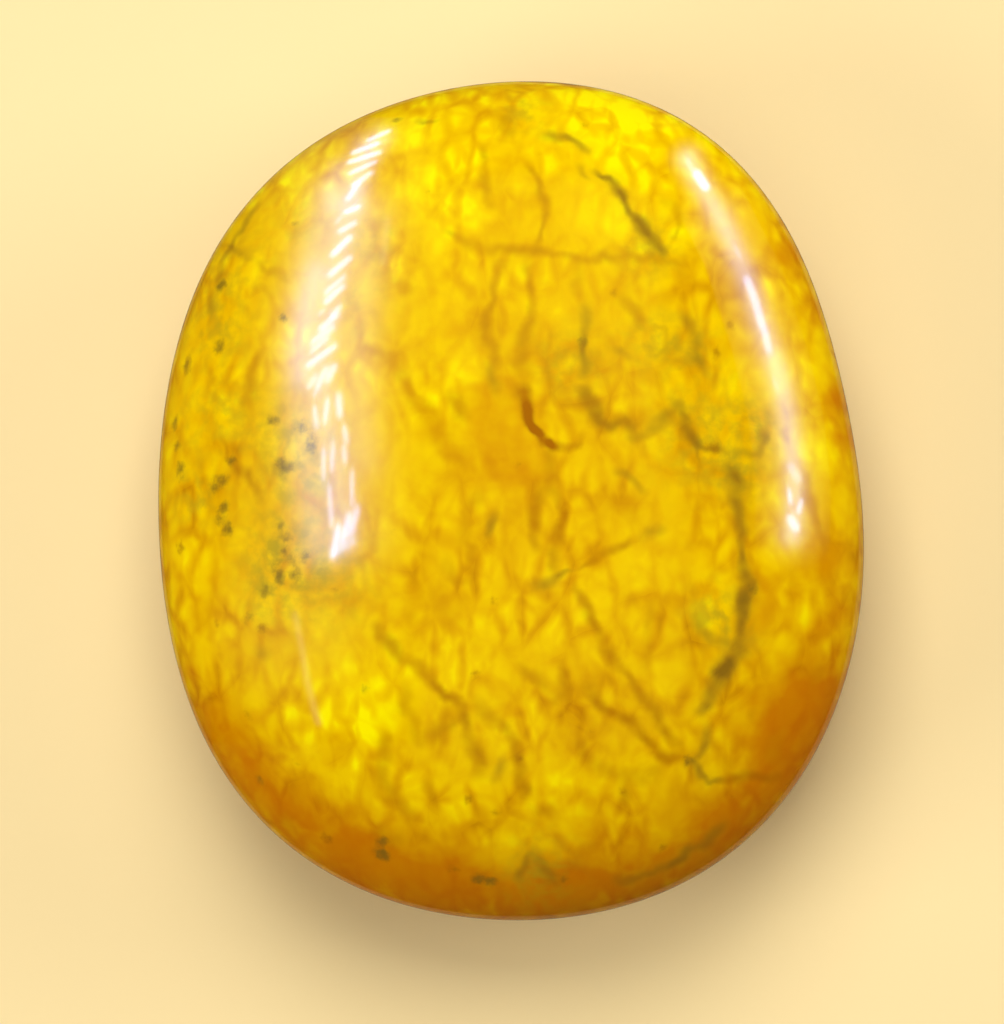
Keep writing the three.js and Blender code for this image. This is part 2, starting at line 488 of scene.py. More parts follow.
def path_field(half_width, strength, path):
    """How far each point of the skin is from a path, and the path's field there."""
    steps = np.diff(path, axis=0)
    along = np.concatenate([[0], np.cumsum(np.linalg.norm(steps, axis=1))])
    ends = np.clip(np.minimum(along, along[-1] - along) / (TAPER_MM * MM), 0, 1)
    nibs = np.array([nib(point) for point in path])
    widths = half_width * nibs[:, 0]
    strengths = strength * nibs[:, 1] * ends
    directions = np.gradient(path, axis=0)
    nearest = np.full(len(skin), REACH_MM * MM)
    field = np.tile(EMPTY_FIELD, (len(skin), 1))
    for here, (start, step) in enumerate(zip(path, steps)):
        close = np.flatnonzero(np.abs(skin - start - step / 2).max(axis=1) < (REACH_MM + WALK_STEP_MM) * MM)
        away = skin[close] - start
        share = np.clip(away @ step / (step @ step), 0, 1)
        offset = away - share[:, None] * step
        distance = np.linalg.norm(offset, axis=1)
        won = distance < nearest[close]
        close, share, offset, distance = close[won], share[won], offset[won], distance[won]
        mix = np.stack([1 - share, share])
        side = np.cross(normals[close], mix.T @ directions[here : here + 2])
        side /= np.linalg.norm(side, axis=1, keepdims=True)
        fade = np.clip((REACH_MM - FACE_MM - distance / MM) / FADE_MM, 0, 1)
        nearest[close] = distance
        field[close, 0] = (offset * side).sum(axis=1) / MM
        field[close, 1] = widths[here : here + 2] @ mix
        field[close, 2] = (strengths[here : here + 2] @ mix) * fade
    return nearest, field


def layer_field(lines):
    """The fields of one layer's paths in one field. Each point follows the path that is nearest to it."""
    nearest = np.full(len(skin), REACH_MM * MM)
    field = np.tile(EMPTY_FIELD, (len(skin), 1))
    for line in lines:
        distance, own = path_field(*line)
        closer = distance < nearest
        nearest[closer] = distance[closer]
        field[closer] = own[closer]
    return field


def store(name, values):
    """Keeps one number or one vector for every point of the skin, for the material to read."""
    kind = "FLOAT" if values.ndim == 1 else "FLOAT_VECTOR"
    attribute = stone_mesh.attributes.new(name, kind, "POINT")
    attribute.data.foreach_set("value" if values.ndim == 1 else "vector", values.astype(np.float32).ravel())


layer_names = {}
for kind, lines in traced.items():
    layers = layered(lines)
    layer_names[kind] = [f"{kind}_{number}" for number in range(len(layers))]
    for name, layer in zip(layer_names[kind], layers):
        store(name, layer_field(layer))
print("layers:", layer_names)

# %% [markdown]
# ## Clouds and specks
#
# Between the veins the yellow isn't even. It is amber in places, a greenish dust clouds it in others,
# and some fields stayed clear and bright. These are broad and soft, so a few round patches with a
# place, a size and a strength are enough, and noise in the material frays them later. Calm patches
# quiet the cells where hardly any show. A chain of amber patches along the lower rim, and the amber ones
# at the bottom rim, are painted shade that darkens the lower rim. The dark specks are small patches of
# the same kind, but hard enough to be drawn one by one.

# %% Patches of colour
Patch = namedtuple("Patch", "right up radius amount")
# A row of these runs along the top rim and one sits near the lower right rim; they make the rim lighter
# there.
BRIGHT_PATCHES = [
    Patch(9.7, 27.3, 5.5, 1.0), Patch(6.0, 29.9, 4.0, 0.7), Patch(-5.8, 23.6, 5.0, 0.6),
    Patch(8.2, 19.9, 3.0, 0.6), Patch(2.3, 15.4, 2.5, 0.3), Patch(21.4, 9.2, 2.8, 1.1),
    Patch(22.6, 3.6, 2.0, 0.8), Patch(18.6, 0.4, 1.6, 0.6), Patch(-5.1, 7.3, 3.0, 0.4),
    Patch(-6.0, 16.5, 6.0, 0.45), Patch(-16.2, 23.0, 3.5, 0.9), Patch(-8.0, 28.5, 3.5, 0.5),
    Patch(0.0, 30.5, 4.0, 0.5), Patch(8.4, 7.6, 2.6, 0.6), Patch(-8.8, 5.0, 2.4, 0.5),
    Patch(-18.6, 8.6, 3.0, 0.6), Patch(19.4, 16.0, 1.8, 0.7), Patch(14.5, 22.0, 3.5, 0.4),
    Patch(13.2, -25.6, 1.7, 0.8), Patch(20.8, -8.6, 1.8, 1.1), Patch(-10.3, -13.4, 5.0, 0.8),
    Patch(-12.0, -17.5, 3.5, 0.5), Patch(1.0, -16.5, 3.5, 0.3), Patch(3.8, -20.8, 2.6, 0.5),
    Patch(-17.0, 14.0, 3.5, 0.4),
]
# Amber patches. Those along the bottom rim are painted shade that darkens it.
AMBER_AND_RIM_SHADE_PATCHES = [
    Patch(0.1, 2.1, 2.6, 0.4), Patch(-1.0, 6.0, 4.0, 0.4), Patch(20.4, -16.6, 3.8, 0.8),
    Patch(18.8, -7.4, 1.8, 0.5), Patch(24.9, 4.4, 1.4, 0.9), Patch(24.2, 7.6, 1.4, 0.8),
    Patch(22.8, 14.0, 1.3, 0.6), Patch(20.8, 18.2, 1.6, 0.8), Patch(23.6, -4.4, 1.9, 0.6),
    Patch(23.8, -9.0, 1.6, 0.5), Patch(15.0, -24.0, 2.4, 0.3), Patch(3.0, -28.0, 3.0, 0.4),
    Patch(-5.0, -27.6, 3.4, 0.45), Patch(-10.5, -25.4, 3.2, 0.5), Patch(-23.8, -13.0, 1.0, 0.5),
    Patch(7.0, -23.5, 5.5, 0.3), Patch(17.6, -9.6, 1.6, 0.4),
]
OLIVE_PATCHES = [
    Patch(14.8, 4.6, 3.6, 0.7), Patch(10.4, 18.6, 2.2, 0.6), Patch(-13.6, -5.8, 3.4, 0.6),
    Patch(-21.5, 6.0, 3.0, 0.5), Patch(-23.0, 0.0, 2.0, 0.6), Patch(-21.5, 12.5, 2.5, 0.6),
    Patch(-16.8, -3.8, 2.8, 0.75), Patch(-17.6, -7.0, 2.0, 0.5), Patch(-20.6, 17.0, 3.0, 0.4),
    Patch(15.2, -8.6, 2.2, 0.7), Patch(17.0, 1.6, 1.6, 0.7), Patch(2.3, -27.4, 2.6, 0.6),
    Patch(-10.0, 19.2, 2.0, 0.4), Patch(-15.6, 20.4, 2.4, 0.3), Patch(-15.6, 5.0, 3.0, 0.5),
    Patch(13.0, 11.5, 2.5, 0.5), Patch(-15.6, 1.5, 2.6, 0.6), Patch(-11.0, 14.5, 2.6, 0.3),
    Patch(1.0, 28.6, 1.8, 0.5), Patch(17.2, -10.0, 1.4, 0.5), Patch(4.5, 10.0, 2.6, 0.5),
    Patch(18.2, 5.4, 1.8, 0.5), Patch(10.4, 11.8, 1.8, 0.5),
]
CALM_PATCHES = [
    Patch(4.5, 21.5, 5.0, 0.7), Patch(8.5, 13.5, 4.0, 0.5), Patch(-7.5, 3.0, 4.5, 0.7),
    Patch(-14.0, 17.0, 5.0, 0.8), Patch(-14.0, 6.0, 4.0, 0.7), Patch(-12.0, -10.0, 3.5, 0.5),
    Patch(-3.0, 12.0, 4.0, 0.4), Patch(12.0, -3.0, 4.0, 0.4), Patch(-14.0, -3.0, 3.0, 0.5),
    Patch(20.0, 0.0, 3.0, 0.5), Patch(19.0, 10.0, 3.0, 0.4),
]
RIM_SHADE_FROM_DEGREES = 218
RIM_SHADE_TO_DEGREES = 332
RIM_SHADE_STEP_DEGREES = 7
RIM_SHADE_INSET_MM = 1.4
RIM_SHADE_RADIUS_MM = 2.6
RIM_SHADE_AMOUNT = 0.7
PICTURE_SIDE_MM = 5.0
MOST_CALM = 0.85

# Painted shade: a chain of amber patches darkens the lower rim.
for degrees in range(RIM_SHADE_FROM_DEGREES, RIM_SHADE_TO_DEGREES, RIM_SHADE_STEP_DEGREES):
    turn = math.radians(degrees)
    rim = float(outline_radius(np.array(turn))) - RIM_SHADE_INSET_MM
    AMBER_AND_RIM_SHADE_PATCHES.append(Patch(rim * math.cos(turn), rim * math.sin(turn), RIM_SHADE_RADIUS_MM, RIM_SHADE_AMOUNT))


def picture_places(points):
    """Millimetres right and up of the stone's middle at which points show in the picture."""
    offset = points - np.array(camera.location)
    depth = offset @ -np.array(toward_camera)
    scale = CAMERA_DISTANCE_MM / depth
    centre = np.array(stone_middle - camera.location)
    right = (offset @ np.array(picture_right)) * scale - centre @ np.array(picture_right) / MM
    up = (offset @ np.array(picture_up)) * scale - centre @ np.array(picture_up) / MM
    return right, up


right_of_middle, up_of_middle = picture_places(skin)
on_picture_side = np.clip((skin[:, 2] - stone_middle.z) / (PICTURE_SIDE_MM * MM) + 1, 0, 1)


def patch_field(patches):
    """The sum of soft round patches at every point of the skin."""
    total = np.zeros(len(skin))
    for patch in patches:
        away = np.hypot(right_of_middle - patch.right, up_of_middle - patch.up)
        total += patch.amount * np.exp(-((away / patch.radius) ** 2))
    return total * on_picture_side


patch_fields = [patch_field(patches) for patches in (BRIGHT_PATCHES, AMBER_AND_RIM_SHADE_PATCHES, OLIVE_PATCHES)]
store("patches", np.stack(patch_fields, axis=1))
store("restless", 1 - np.clip(patch_field(CALM_PATCHES), 0, MOST_CALM))

# %% Specks
Speck = namedtuple("Speck", "right up radius")
GREY_SPECKS = [
    Speck(-16.7, 13.4, 0.2), Speck(-15.8, 20.4, 0.25), Speck(-21.3, 15.8, 0.5), Speck(-21.4, 11.2, 0.5),
    Speck(-24.7, 5.7, 0.4), Speck(-24.5, 3.9, 0.45), Speck(-24.3, 2.2, 0.45), Speck(-24.2, 1.5, 0.35),
    Speck(-23.8, 9.8, 0.5), Speck(-21.8, 0.8, 0.45), Speck(-21.2, 1.3, 0.45), Speck(-21.0, -0.6, 0.5),
    Speck(-21.4, -1.5, 0.4), Speck(-20.8, -2.3, 0.5), Speck(-20.5, 2.9, 0.4), Speck(-17.4, 5.9, 0.4),
    Speck(-15.4, 5.3, 0.4), Speck(-14.6, 4.7, 0.4), Speck(-14.6, 3.8, 0.4), Speck(-16.8, 2.5, 0.55),
    Speck(-16.2, 2.4, 0.4), Speck(-16.5, -2.9, 0.5), Speck(-16.6, -3.8, 0.5), Speck(-16.1, -4.4, 0.45),
    Speck(-17.2, -4.8, 0.3), Speck(-16.9, -2.0, 0.2), Speck(-15.0, -4.2, 0.4), Speck(-15.8, -5.7, 0.45),
    Speck(-17.0, -5.7, 0.45), Speck(-18.1, -6.7, 0.45), Speck(-19.3, -8.7, 0.4),
    Speck(-18.3, -20.8, 0.25), Speck(-9.4, -26.1, 0.6), Speck(-9.3, -25.3, 0.4),
    Speck(-2.2, -28.0, 0.45), Speck(-1.4, -28.3, 0.5), Speck(13.4, -19.4, 0.35), Speck(5.4, 11.6, 0.3),
    Speck(-10.7, -14.1, 0.05), Speck(4.0, -28.0, 0.2), Speck(-8.2, 28.0, 0.2), Speck(18.0, -6.6, 0.3),
]
BROWN_SPECKS = [
    Speck(-14.5, 24.5, 0.15), Speck(-24.3, -3.6, 0.4), Speck(-13.0, -6.6, 0.25),
    Speck(-21.6, -9.2, 0.2), Speck(-18.2, -9.5, 0.25), Speck(-15.8, -19.5, 0.15),
    Speck(-13.4, -25.1, 0.35), Speck(-2.5, -12.9, 0.15), Speck(-0.9, -23.2, 0.2),
    Speck(-3.0, -22.2, 0.2), Speck(-1.0, -7.6, 0.15), Speck(-8.6, -2.4, 0.05), Speck(8.5, -21.6, 0.25),
    Speck(0.7, -19.2, 0.2), Speck(7.8, 15.2, 0.15), Speck(16.3, -22.0, 0.15), Speck(11.4, -25.8, 0.15),
    Speck(9.7, -8.1, 0.1), Speck(3.7, -5.5, 0.2), Speck(0.8, 2.5, 0.2), Speck(5.9, -17.1, 0.1),
    Speck(-4.0, -27.3, 0.2), Speck(15.1, 3.8, 0.4), Speck(16.3, 12.8, 0.2), Speck(15.3, 10.7, 0.2),
    Speck(-5.9, 22.7, 0.05), Speck(-19.3, -16.0, 0.2), Speck(5.7, 27.6, 0.15),
]
HIDDEN_SPECKS = 26
HIDDEN_SPECK_RADII_MM = (0.3, 0.7)
SPECK_EDGE_MM = 1.1


def speck_field(specks):
    """How far inside a soft-edged speck each point of the skin is, on the drawn side and the hidden one."""
    centres = [(on_stone(speck.right, speck.up), speck.radius) for speck in specks]
    centres += [(hidden_point(), draw.uniform(*HIDDEN_SPECK_RADII_MM)) for _ in range(HIDDEN_SPECKS)]
    field = np.zeros(len(skin))
    for place, radius in centres:
        away = np.linalg.norm(skin - np.array(place), axis=1) / MM
        field = np.maximum(field, np.clip((radius + SPECK_EDGE_MM / 2 - away) / SPECK_EDGE_MM, 0, 1))
    return field


speck_fields = [speck_field(GREY_SPECKS), speck_field(BROWN_SPECKS), np.zeros(len(skin))]
store("specks", np.stack(speck_fields, axis=1))
print("specks:", len(GREY_SPECKS) + len(BROWN_SPECKS) + 2 * HIDDEN_SPECKS)

# %% [markdown]
# ## The stone's material
#
# The stone is an opaque, waxy yellow mineral, ground and then polished with fine grit. Four things give
# that to the eye: a yellow that runs from clear lemon to amber in blurred cells, fine darker seams
# between the cells, the veins, and a gloss like glass over it all. A photograph could be wrapped on it,
# but it would end at the rim. Noise and Voronoi patterns in the stone's own space go on through the rim
# to the belly, as the real mineral does.

# %% A helper for nodes and a helper for colours
SRGB_KNEE = 0.04045
SRGB_SLOPE = 12.92
SRGB_OFFSET = 0.055
SRGB_POWER = 2.4
HEX_PLACES = (1, 3, 5)
BRIGHTEST_LEVEL = 255
RAMP_OWN_STOPS = 2


def colour(code):
    """An sRGB hex code as the linear colour that a shader takes."""
    linear = []
    for place in HEX_PLACES:
        level = int(code[place : place + 2], 16) / BRIGHTEST_LEVEL
        if level <= SRGB_KNEE:
            linear.append(level / SRGB_SLOPE)
        else:
            linear.append(((level + SRGB_OFFSET) / (1 + SRGB_OFFSET)) ** SRGB_POWER)
    return (*linear, 1)


def add(tree, kind, links=None, stops=None, **settings):
    """Adds a node with its settings. Links gives each socket a value, or another node's socket to read."""
    node = tree.nodes.new(kind)
    for name, value in settings.items():
        setattr(node, name, value)
    for socket, value in (links or {}).items():
        if isinstance(value, bpy.types.NodeSocket):
            tree.links.new(value, node.inputs[socket])
        else:
            node.inputs[socket].default_value = value
    for place, (position, code) in enumerate(stops or []):
        ramp = node.color_ramp.elements
        element = ramp[place] if place < RAMP_OWN_STOPS else ramp.new(position)
        element.position = position
        element.color = colour(code)
    return node


polished_stone = bpy.data.materials.new("polished_veined_stone")
polished_stone.use_nodes = True
tree = polished_stone.node_tree
tree.nodes.clear()
shader = add(tree, "ShaderNodeBsdfPrincipled")
add(tree, "ShaderNodeOutputMaterial", {"Surface": shader.outputs[0]})

# %% The stone's own space in millimetres, bent so that no pattern keeps a straight line
PER_MM = 1 / MM
BEND_LENGTH_MM = 5.0
BEND_MM = 1.6
NOISE_MIDDLE = (0.5, 0.5, 0.5)

space = add(tree, "ShaderNodeTexCoord")
in_mm = add(tree, "ShaderNodeMapping",
            {"Vector": space.outputs["Object"], "Scale": (PER_MM, PER_MM, PER_MM)})
bend = add(tree, "ShaderNodeTexNoise",
           {"Vector": in_mm.outputs[0], "Scale": 1 / BEND_LENGTH_MM, "Detail": 2})
level = add(tree, "ShaderNodeVectorMath", {0: bend.outputs["Color"], 1: NOISE_MIDDLE}, operation="SUBTRACT")
shift = add(tree, "ShaderNodeVectorMath", {0: level.outputs[0], "Scale": BEND_MM}, operation="SCALE")
bent = add(tree, "ShaderNodeVectorMath", {0: in_mm.outputs[0], 1: shift.outputs[0]}, operation="ADD")

# %% [markdown]
# The cells are the first thing one sees: blurred lemon fields, 1.7 to 3 mm wide and a little drawn out,
# with ochre between them. Distance to the edge of a Voronoi cell gives fields and seams in one pattern.
# A coarse and a fine one, and two noises for clouds and grain, are added up to one number, from 0,
# amber, to 1, clear yellow.

# %% Cells, clouds and grain
Cells = namedtuple("Cells", "size_mm seam_mm seam_weight field_weight")
CELLS = [Cells(3.0, 0.80, -0.42, 0.18), Cells(1.7, 0.58, -0.22, 0.10)]
CLOUD_MM = 5.0
GRAIN_MM = 0.9
SEAM_CHANGE_MM = 3.5
SEAM_CHANGE_RANGE = (0.35, 0.62)
FAINTEST_SEAMS = 0.25
TONE_START = 0.25
CLOUD_WEIGHT = 0.65
GRAIN_WEIGHT = 0.12
BRIGHT_WEIGHT = 0.35
AMBER_WEIGHT = -0.10
YELLOWS = [(0.0, "#ac7400"), (1.0, "#e2d200"), (0.25, "#c08c00"), (0.5, "#cda000"), (0.75, "#d7b200")]
CELL_STRETCH = (1.3, 0.8, 1.0)
CELL_TURN = (0.0, 0.0, math.radians(20))

drawn_out = add(tree, "ShaderNodeMapping",
                {"Vector": bent.outputs[0], "Rotation": CELL_TURN, "Scale": CELL_STRETCH})
clouds = add(tree, "ShaderNodeTexNoise", {"Vector": bent.outputs[0], "Scale": 1 / CLOUD_MM, "Detail": 3})
grain = add(tree, "ShaderNodeTexNoise", {"Vector": bent.outputs[0], "Scale": 1 / GRAIN_MM, "Detail": 1})
patches = add(tree, "ShaderNodeAttribute", attribute_name="patches")
patch_kinds = add(tree, "ShaderNodeSeparateXYZ", {0: patches.outputs["Vector"]})
tone_parts = [
    (clouds.outputs["Fac"], CLOUD_WEIGHT),
    (grain.outputs["Fac"], GRAIN_WEIGHT),
    (patch_kinds.outputs["X"], BRIGHT_WEIGHT),
    (patch_kinds.outputs["Y"], AMBER_WEIGHT),
]
restless = add(tree, "ShaderNodeAttribute", attribute_name="restless")
for cells in CELLS:
    scale = 1 / cells.size_mm
    field = add(tree, "ShaderNodeTexVoronoi", {"Vector": drawn_out.outputs[0], "Scale": scale})
    edge = add(tree, "ShaderNodeTexVoronoi", {"Vector": drawn_out.outputs[0], "Scale": scale},
               feature="DISTANCE_TO_EDGE")
    seam = add(tree, "ShaderNodeMapRange",
               {"Value": edge.outputs["Distance"], "From Min": cells.seam_mm * scale,
                                            "From Max": 0.0}, interpolation_type="SMOOTHSTEP")
    change = add(tree, "ShaderNodeTexNoise", {"Vector": in_mm.outputs[0], "Scale": 1 / SEAM_CHANGE_MM})
    here = add(tree, "ShaderNodeMapRange", {
        "Value": change.outputs["Fac"],
        "From Min": SEAM_CHANGE_RANGE[0], "From Max": SEAM_CHANGE_RANGE[1],
        "To Min": FAINTEST_SEAMS, "To Max": restless.outputs["Fac"],
    })
    seam_here = add(tree, "ShaderNodeMath", {0: seam.outputs[0], 1: here.outputs[0]}, operation="MULTIPLY")
    field_here = add(tree, "ShaderNodeMath", {0: field.outputs["Color"], 1: here.outputs[0]},
                     operation="MULTIPLY")
    tone_parts.append((seam_here.outputs[0], cells.seam_weight))
    tone_parts.append((field_here.outputs[0], cells.field_weight))

tone = None
for part, weight in tone_parts:
    sum_so_far = TONE_START if tone is None else tone.outputs[0]
    tone = add(tree, "ShaderNodeMath", {0: part, 1: weight, 2: sum_so_far}, operation="MULTIPLY_ADD")
yellows = add(tree, "ShaderNodeValToRGB", {0: tone.outputs[0]}, stops=YELLOWS)

# %% [markdown]
# The amber lies in shreds with yellow between them, so a plain round stain would look painted. A fine
# noise is added to the amber patches, and only the upper part of the sum takes the colour, which frays
# every patch at its edge.

# %% Amber fields
# The amber colour also lays the painted shade along the lower rim.
AMBER = "#b06000"
AMBER_MM = 2.0
MOST_AMBER = 0.8
AMBER_RANGE = (0.6, 1.5)

amber_noise = add(tree, "ShaderNodeTexNoise",
                  {"Vector": bent.outputs[0], "Scale": 1 / AMBER_MM, "Detail": 2})
amber_sum = add(tree, "ShaderNodeMath", {0: amber_noise.outputs["Fac"], 1: patch_kinds.outputs["Y"]},
                operation="ADD")
amber_share = add(tree, "ShaderNodeMapRange", {
    "Value": amber_sum.outputs[0],
    "From Min": AMBER_RANGE[0], "From Max": AMBER_RANGE[1],
    "To Max": MOST_AMBER,
})
ground = add(tree, "ShaderNodeMix", {0: amber_share.outputs[0], 6: yellows.outputs[0], 7: colour(AMBER)},
             data_type="RGBA")

# %% [markdown]
# A greenish dust lies in some fields and along the grey veins. It takes the warmth out of the yellow
# without darkening it much. Noise breaks the patches up, so that they look like dust and not like
# paint.

# %% Olive dust
OLIVE = "#a08812"
DUST_MM = 1.1
DUST_RANGE = (0.4, 0.65)

dust = add(tree, "ShaderNodeTexNoise", {"Vector": bent.outputs[0], "Scale": 1 / DUST_MM, "Detail": 3})
dust_share = add(tree, "ShaderNodeMapRange", {
    "Value": dust.outputs["Fac"],
    "From Min": DUST_RANGE[0], "From Max": DUST_RANGE[1],
})
dusty = add(tree, "ShaderNodeMath", {0: dust_share.outputs[0], 1: patch_kinds.outputs["Z"]},
            operation="MULTIPLY")
surface = add(tree, "ShaderNodeMix", {0: dusty.outputs[0], 6: ground.outputs[2], 7: colour(OLIVE)},
              data_type="RGBA")

# %% [markdown]
# Each layer of veins is drawn from its distance field. A little noise is added to the distance, so that
# the edges are crumbly, and the sum is compared with the line's half width. The grey layers get a soft
# olive halo first.

# %% Veins
WOBBLE_MM = 0.09
WOBBLE_LENGTH_MM = 0.5
HALO_WIDTHS = 4.5
HALO_SHARE = 0.22
Ink = namedtuple("Ink", "code spread strength")
INKS = {
    "amber": Ink("#ae7200", 2.8, 1.1),
    "brown": Ink("#945802", 2.8, 0.85),
    "grey": Ink("#7c5a0e", 2.1, 0.95),
}
FADED = 0.6
FADING_MM = 1.5
FADING_RANGE = (0.35, 0.6)

wobble = add(tree, "ShaderNodeTexNoise",
             {"Vector": in_mm.outputs[0], "Scale": 1 / WOBBLE_LENGTH_MM, "Detail": 2})
wobble_mm = add(tree, "ShaderNodeMath", {0: wobble.outputs["Fac"], 1: WOBBLE_MM * 2, 2: -WOBBLE_MM},
                operation="MULTIPLY_ADD")
fading = add(tree, "ShaderNodeTexNoise", {"Vector": in_mm.outputs[0], "Scale": 1 / FADING_MM, "Detail": 1})
fresh = add(tree, "ShaderNodeMapRange", {
    "Value": fading.outputs["Fac"],
    "From Min": FADING_RANGE[0], "From Max": FADING_RANGE[1],
    "To Min": FADED,
})
for kind, ink in INKS.items():
    for name in layer_names[kind]:
        stored = add(tree, "ShaderNodeAttribute", attribute_name=name)
        parts = add(tree, "ShaderNodeSeparateXYZ", {0: stored.outputs["Vector"]})
        across = add(tree, "ShaderNodeMath", {0: parts.outputs["X"], 1: wobble_mm.outputs[0]},
                     operation="ADD")
        off_line = add(tree, "ShaderNodeMath", {0: across.outputs[0]}, operation="ABSOLUTE")
        widths_off = add(tree, "ShaderNodeMath", {0: off_line.outputs[0], 1: parts.outputs["Y"]},
                         operation="DIVIDE")
        if kind == "grey":
            halo = add(tree, "ShaderNodeMapRange", {"Value": widths_off.outputs[0], "From Min": HALO_WIDTHS,
                                                    "From Max": 0.0, "To Max": HALO_SHARE})
            haloed = add(tree, "ShaderNodeMath", {0: halo.outputs[0], 1: parts.outputs["Z"]},
                         operation="MULTIPLY")
            surface = add(tree, "ShaderNodeMix",
                          {0: haloed.outputs[0], 6: surface.outputs[2], 7: colour(OLIVE)},
                          data_type="RGBA")
        core = add(tree, "ShaderNodeMapRange", {"Value": widths_off.outputs[0], "From Min": ink.spread,
                                                "From Max": 0.0, "To Max": ink.strength},
                   interpolation_type="SMOOTHSTEP")
        crisp = add(tree, "ShaderNodeMath", {0: core.outputs[0], 1: parts.outputs["Z"]},
                    operation="MULTIPLY")
        drawn = add(tree, "ShaderNodeMath", {0: crisp.outputs[0], 1: fresh.outputs[0]},
                    operation="MULTIPLY",
                    use_clamp=True)
        surface = add(tree, "ShaderNodeMix",
                      {0: drawn.outputs[0], 6: surface.outputs[2], 7: colour(ink.code)},
                      data_type="RGBA")

# %% Specks on the surface
SPECK_COLOURS = (("X", "#685212"), ("Y", "#885606"))
SPECK_FRAY_MM = 0.9
SPECK_FRAY = 1.3
SPECK_SHARE = 0.8
SPECK_RANGE = (0.9, 1.6)
SPECK_FRAY_ROUGHNESS = 0.6

fray = add(tree, "ShaderNodeTexNoise", {"Vector": in_mm.outputs[0], "Scale": 1 / SPECK_FRAY_MM, "Detail": 3,
                                        "Roughness": SPECK_FRAY_ROUGHNESS})
specks = add(tree, "ShaderNodeAttribute", attribute_name="specks")
speck_kinds = add(tree, "ShaderNodeSeparateXYZ", {0: specks.outputs["Vector"]})
for kind, code in SPECK_COLOURS:
    frayed = add(tree, "ShaderNodeMath",
                 {0: fray.outputs["Fac"], 1: SPECK_FRAY, 2: speck_kinds.outputs[kind]},
                 operation="MULTIPLY_ADD")
    speck_share = add(tree, "ShaderNodeMapRange", {
        "Value": frayed.outputs[0],
        "From Min": SPECK_RANGE[0], "From Max": SPECK_RANGE[1],
        "To Max": SPECK_SHARE,
    }, interpolation_type="SMOOTHSTEP")
    surface = add(tree, "ShaderNodeMix",
                  {0: speck_share.outputs[0], 6: surface.outputs[2], 7: colour(code)},
                  data_type="RGBA")
tree.links.new(surface.outputs[2], shader.inputs["Base Color"])

# %% [markdown]
# The gloss is that of a hard mineral: an index of refraction of 1.57 and a very low roughness. The
# polish leaves ripples that are too fine to see as shape, but they make the edge of a lamp's reflection
# sparkle. They are a bump of two ten-thousandths of a millimetre. A little light also goes in and comes
# out close by, which blurs the cells.

# %% Gloss
MINERAL_IOR = 1.57
POLISH_ROUGHNESS = 0.06
RIPPLE_MM = 0.25
RIPPLE_DEPTH_MM = 0.0002
GLOW_SHARE = 0.25
GLOW_DEPTH_MM = 0.5
GLOW_SPREAD = (1.0, 0.55, 0.12)

ripple = add(tree, "ShaderNodeTexNoise", {"Vector": in_mm.outputs[0], "Scale": 1 / RIPPLE_MM, "Detail": 1})
bump = add(tree, "ShaderNodeBump",
           {"Height": ripple.outputs["Fac"], "Strength": 1.0, "Distance": RIPPLE_DEPTH_MM * MM})
tree.links.new(bump.outputs[0], shader.inputs["Normal"])
shader.inputs["IOR"].default_value = MINERAL_IOR
shader.inputs["Roughness"].default_value = POLISH_ROUGHNESS
shader.inputs["Subsurface Weight"].default_value = GLOW_SHARE
shader.inputs["Subsurface Radius"].default_value = GLOW_SPREAD
shader.inputs["Subsurface Scale"].default_value = GLOW_DEPTH_MM * MM
stone_mesh.materials.append(polished_stone)

# %% [markdown]
# ## The floor and the light
#
# The stone lies on a plain cream floor in soft light. Four big lamps light it: the key behind its far
# end, one on either side, and a weak one overhead that fills the shadows. None of them shows in the
# gloss, because the mirror image of so big a lamp would lie on the yellow like a pale sheet.

# %% Floor
FLOOR_SIZE_MM = 3000
FLOOR_COLOUR = "#dbc490"
FLOOR_ROUGHNESS = 0.9

floor_material = bpy.data.materials.new("matt_cream_paper")
floor_material.use_nodes = True
floor_shader = floor_material.node_tree.nodes["Principled BSDF"]
floor_shader.inputs["Base Color"].default_value = colour(FLOOR_COLOUR)
floor_shader.inputs["Roughness"].default_value = FLOOR_ROUGHNESS
floor_shader.inputs["Specular IOR Level"].default_value = 0.0
bm = bmesh.new()
bmesh.ops.create_grid(bm, x_segments=1, y_segments=1, size=FLOOR_SIZE_MM / 2 * MM)
floor_mesh = bpy.data.meshes.new("floor")
bm.to_mesh(floor_mesh)
bm.free()
floor = bpy.data.objects.new("floor", floor_mesh)
bpy.context.scene.collection.objects.link(floor)
floor_mesh.materials.append(floor_material)
floor.visible_glossy = False

# %% Four soft lamps and a dim world
WORLD_COLOUR = "#fff4e6"
WORLD_STRENGTH = 0.025


def softbox(name, place_mm, side_mm, radiance):
    """A square lamp that faces the stone. It lights the stone and the floor and doesn't show in the gloss."""
    light = bpy.data.lights.new(name, "AREA")
    light.size = side_mm * MM
    light.energy = radiance * math.pi * light.size**2
    softbox_object = bpy.data.objects.new(name, light)
    bpy.context.scene.collection.objects.link(softbox_object)
    softbox_object.location = Vector(place_mm) * MM
    away = softbox_object.location - stone_middle
    softbox_object.rotation_euler = away.to_track_quat("Z", "Y").to_euler()
    softbox_object.visible_camera = False
    softbox_object.visible_glossy = False


softbox("key_softbox", place_mm=(20, 280, 460), side_mm=360, radiance=7.2)
softbox("fill_softbox", place_mm=(20, -100, 620), side_mm=500, radiance=1.7)
softbox("right_softbox", place_mm=(460, 120, 200), side_mm=260, radiance=6.2)
softbox("left_softbox", place_mm=(-470, -180, 260), side_mm=320, radiance=6.2)

world = bpy.data.worlds.new("dim_room")
world.use_nodes = True
world.node_tree.nodes["Background"].inputs["Color"].default_value = colour(WORLD_COLOUR)
world.node_tree.nodes["Background"].inputs["Strength"].default_value = WORLD_STRENGTH
bpy.context.scene.world = world
bpy.context.scene.view_settings.view_transform = "Standard"

